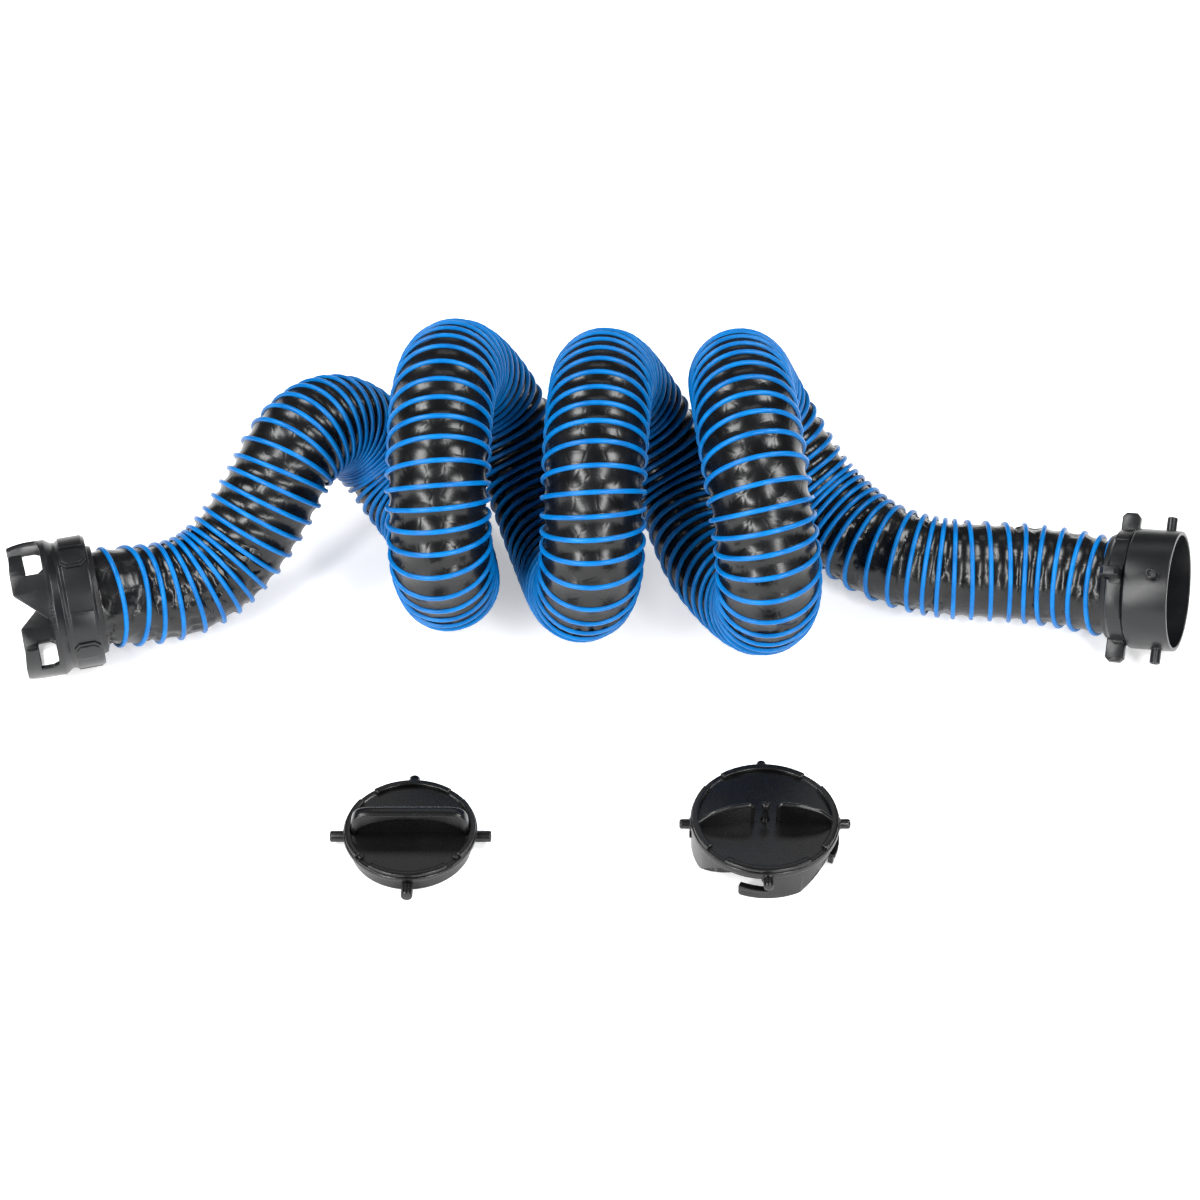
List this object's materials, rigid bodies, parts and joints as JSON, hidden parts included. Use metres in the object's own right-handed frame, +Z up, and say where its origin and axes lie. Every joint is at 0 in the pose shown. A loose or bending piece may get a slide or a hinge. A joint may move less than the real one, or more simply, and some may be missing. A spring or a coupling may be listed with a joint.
{
  "type": "sewer hose kit",
  "caption": "Coiled corrugated drain hose with a swivelling bayonet ring at one end, a swivelling lug fitting at the other, and two loose bayonet caps.",
  "frame": {"origin": "middle of the kit's footprint on the floor it lies on", "axes": "+X along the coil from the bayonet ring to the lug fitting, +Y away from the caps, +Z up"},
  "size_m": [1.0111, 0.5189, 0.2596],
  "materials": {
    "hose_film": "satin",
    "fitting_grey": "satin",
    "cap_black": "satin",
    "seal": "matte"
  },
  "bodies": {
    "hose": {"hose_tube": "hose_film", "bayonet_cuff": "fitting_grey", "bayonet_seal": "seal", "lug_cuff": "fitting_grey", "lug_seal": "seal"},
    "bayonet_swivel": {"bayonet_ring": "fitting_grey"},
    "lug_swivel": {"lug_barrel": "fitting_grey", "lug_collar": "fitting_grey"},
    "pin_cap": {"pin_cap_body": "cap_black", "pin_cap_gasket": "seal"},
    "hook_cap": {"hook_cap_body": "cap_black", "hook_cap_gasket": "seal"}
  },
  "joints": [
    {"name": "ring_turn", "type": "hinge", "parent": "hose", "child": "bayonet_swivel", "pos_m": [-0.4276, 0.0329, 0.0598], "axis": [-0.964, -0.266, 0], "continuous": true},
    {"name": "lug_turn", "type": "hinge", "parent": "hose", "child": "lug_swivel", "pos_m": [0.4364, 0.0563, 0.0535], "axis": [0.9148, -0.3469, 0.207], "continuous": true},
    {"name": "pin_cap_lift", "type": "slide", "parent": "hose", "child": "pin_cap", "axis": [0, 0, 1], "range_m": [0, 0.15]},
    {"name": "hook_cap_lift", "type": "slide", "parent": "hose", "child": "hook_cap", "axis": [0, 0, 1], "range_m": [0, 0.15]}
  ]
}
